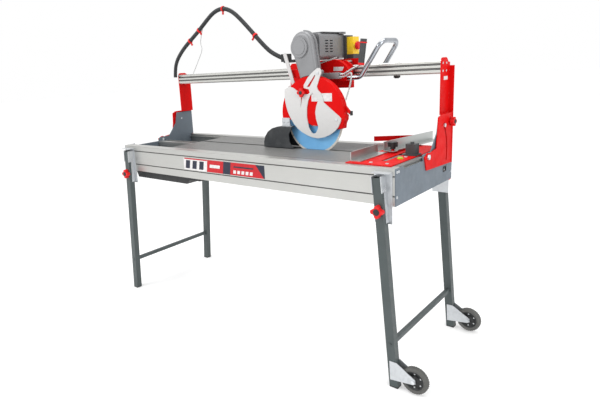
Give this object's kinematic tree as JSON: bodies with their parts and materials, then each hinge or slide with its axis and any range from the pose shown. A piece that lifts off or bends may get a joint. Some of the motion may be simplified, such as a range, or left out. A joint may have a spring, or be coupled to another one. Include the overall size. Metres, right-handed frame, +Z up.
{
  "type": "wet tile saw",
  "caption": "Bridge wet tile saw with grooved table, folding wheeled legs, water tray, tilting guide rail and a travelling plunge cutting head.",
  "frame": {"origin": "middle of the footprint on the floor", "axes": "+X along the table towards the wheels, +Y from the operator to the guide rail side, +Z up"},
  "size_m": [2.1316, 0.8318, 1.8315],
  "materials": {
    "red_paint": "gloss powder coat",
    "grey_paint": "satin powder coat",
    "aluminium": "satin anodised extrusion",
    "cast_aluminium": "fine sand cast",
    "galvanised": "zinc plated",
    "steel": "machined",
    "chrome": "polished plate",
    "black_plastic": "moulded",
    "red_plastic": "moulded",
    "yellow_plastic": "moulded",
    "white_plastic": "smooth sheet",
    "clear_plastic": "translucent tube",
    "blade_blue": "painted blue core",
    "black_rubber": "ribbed hose and caps",
    "tyre": "treaded"
  },
  "bodies": {
    "frame": {"front_rail": "aluminium", "back_rail": "aluminium", "left_end_plate": "grey_paint", "right_end_plate": "grey_paint", "frame_screws": "galvanised", "center_beam": "aluminium", "table_front": "aluminium", "table_back": "aluminium", "water_tray": "black_plastic", "water_pump": "black_plastic", "leg_hangers": "galvanised", "mains_inlet": "black_plastic", "gauge_base": "red_paint", "gauge_fence_front": "aluminium", "gauge_clamp": "black_plastic"},
    "gauge_arm": {"gauge_fence_back": "aluminium", "gauge_stop_bar": "red_paint"},
    "gauge_knob": {"gauge_knob": "black_plastic"},
    "left_legs": {"left_leg_frame": "grey_paint", "left_leg_clamps": "galvanised", "left_foot_caps": "black_rubber"},
    "right_legs": {"right_leg_frame": "grey_paint", "right_leg_clamps": "galvanised", "right_foot_caps": "black_rubber"},
    "leg_knob_left_front": {"leg_knob_left_front": "red_plastic"},
    "leg_knob_left_back": {"leg_knob_left_back": "red_plastic"},
    "leg_knob_right_front": {"leg_knob_right_front": "red_plastic"},
    "leg_knob_right_back": {"leg_knob_right_back": "red_plastic"},
    "front_wheel": {"front_wheel": "tyre"},
    "back_wheel": {"back_wheel": "tyre"},
    "bridge": {"guide_rail": "aluminium", "left_post": "red_paint", "right_post": "red_paint", "rail_stop": "black_rubber", "hose": "black_rubber", "hose_wire": "steel"},
    "tilt_knob_left": {"tilt_knob_left": "red_plastic"},
    "tilt_knob_right": {"tilt_knob_right": "red_plastic"},
    "carriage": {"carriage_plate": "red_paint", "u_handle": "chrome", "hose_block": "black_plastic"},
    "roller_left": {"roller_left": "steel"},
    "roller_right": {"roller_right": "steel"},
    "head": {"head_casting": "cast_aluminium", "motor_body": "cast_aluminium", "switch_box": "yellow_plastic", "belt": "black_rubber", "guard": "red_paint", "guard_cover": "white_plastic", "lever": "steel", "grip": "black_plastic", "water_tubes": "clear_plastic", "laser": "black_plastic", "splash_flap": "black_rubber", "splash_plate": "galvanised"},
    "guard_knob": {"guard_knob": "red_plastic"},
    "stop_button": {"stop_button": "red_plastic"},
    "rotor": {"rotor": "steel"},
    "blade": {"blade_disc": "blade_blue", "blade_shaft": "steel"}
  },
  "joints": [
    {"name": "bridge_tilt", "type": "hinge", "parent": "frame", "child": "bridge", "pos_m": [-0.068, -0.035, 0.998], "axis": [1, 0, 0], "range_deg": [0, 45], "deforming": ["splash_flap"]},
    {"name": "head_travel", "type": "slide", "parent": "bridge", "child": "carriage", "axis": [1, 0, 0], "range_m": [-0.94, 0.2], "deforming": ["hose", "hose_wire"]},
    {"name": "roller_left_spin", "type": "hinge", "parent": "carriage", "child": "roller_left", "pos_m": [0.042, 0.182, 1.4423], "axis": [0, 1, 0], "continuous": true},
    {"name": "roller_right_spin", "type": "hinge", "parent": "carriage", "child": "roller_right", "pos_m": [0.352, 0.182, 1.4423], "axis": [0, 1, 0], "continuous": true},
    {"name": "head_plunge", "type": "hinge", "parent": "carriage", "child": "head", "pos_m": [0.077, 0.063, 1.4], "axis": [0, -1, 0], "range_deg": [0, 15]},
    {"name": "blade_spin", "type": "hinge", "parent": "head", "child": "blade", "pos_m": [0.277, -0.037, 1.153], "axis": [0, 1, 0], "continuous": true},
    {"name": "rotor_spin", "type": "hinge", "parent": "head", "child": "rotor", "pos_m": [0.21, 0.163, 1.533], "axis": [0, 1, 0], "continuous": true},
    {"name": "stop_button_push", "type": "slide", "parent": "head", "child": "stop_button", "axis": [-1, 0, 0], "range_m": [0, 0.004], "stiffness_N_per_m": 600},
    {"name": "guard_knob_turn", "type": "hinge", "parent": "head", "child": "guard_knob", "pos_m": [0.225, -0.083, 1.303], "axis": [0, -1, 0], "continuous": true},
    {"name": "left_leg_fold", "type": "hinge", "parent": "frame", "child": "left_legs", "pos_m": [-0.9753, -0.037, 0.822], "axis": [0, -1, 0], "range_deg": [0, 78]},
    {"name": "right_leg_fold", "type": "hinge", "parent": "frame", "child": "right_legs", "pos_m": [0.8393, -0.037, 0.822], "axis": [0, 1, 0], "range_deg": [0, 78]},
    {"name": "leg_knob_left_front_turn", "type": "hinge", "parent": "left_legs", "child": "leg_knob_left_front", "pos_m": [-0.9753, -0.403, 0.822], "axis": [0, -1, 0], "continuous": true},
    {"name": "leg_knob_left_back_turn", "type": "hinge", "parent": "left_legs", "child": "leg_knob_left_back", "pos_m": [-0.9753, 0.329, 0.822], "axis": [0, 1, 0], "continuous": true},
    {"name": "leg_knob_right_front_turn", "type": "hinge", "parent": "right_legs", "child": "leg_knob_right_front", "pos_m": [0.8393, -0.403, 0.822], "axis": [0, -1, 0], "continuous": true},
    {"name": "leg_knob_right_back_turn", "type": "hinge", "parent": "right_legs", "child": "leg_knob_right_back", "pos_m": [0.8393, 0.329, 0.822], "axis": [0, 1, 0], "continuous": true},
    {"name": "front_wheel_spin", "type": "hinge", "parent": "right_legs", "child": "front_wheel", "pos_m": [1.003, -0.373, 0.066], "axis": [0, 1, 0], "continuous": true},
    {"name": "back_wheel_spin", "type": "hinge", "parent": "right_legs", "child": "back_wheel", "pos_m": [1.003, 0.299, 0.066], "axis": [0, 1, 0], "continuous": true},
    {"name": "tilt_knob_left_turn", "type": "hinge", "parent": "bridge", "child": "tilt_knob_left", "pos_m": [-1.051, 0.123, 1.152], "axis": [-1, 0, 0], "continuous": true},
    {"name": "tilt_knob_right_turn", "type": "hinge", "parent": "bridge", "child": "tilt_knob_right", "pos_m": [0.915, 0.225, 1.133], "axis": [1, 0, 0], "continuous": true},
    {"name": "gauge_swivel", "type": "hinge", "parent": "frame", "child": "gauge_arm", "pos_m": [0.712, -0.007, 1.012], "axis": [0, 0, 1], "range_deg": [0, 40]},
    {"name": "gauge_knob_turn", "type": "hinge", "parent": "gauge_arm", "child": "gauge_knob", "pos_m": [0.712, -0.007, 1.045], "axis": [0, 0, 1], "continuous": true}
  ],
  "couplings": [
    {"joint": "rotor_spin", "follows": "blade_spin", "ratio": 1.1842},
    {"joint": "roller_left_spin", "follows": "head_travel", "rad_per_m": 69.93},
    {"joint": "roller_right_spin", "follows": "head_travel", "rad_per_m": 69.93}
  ]
}
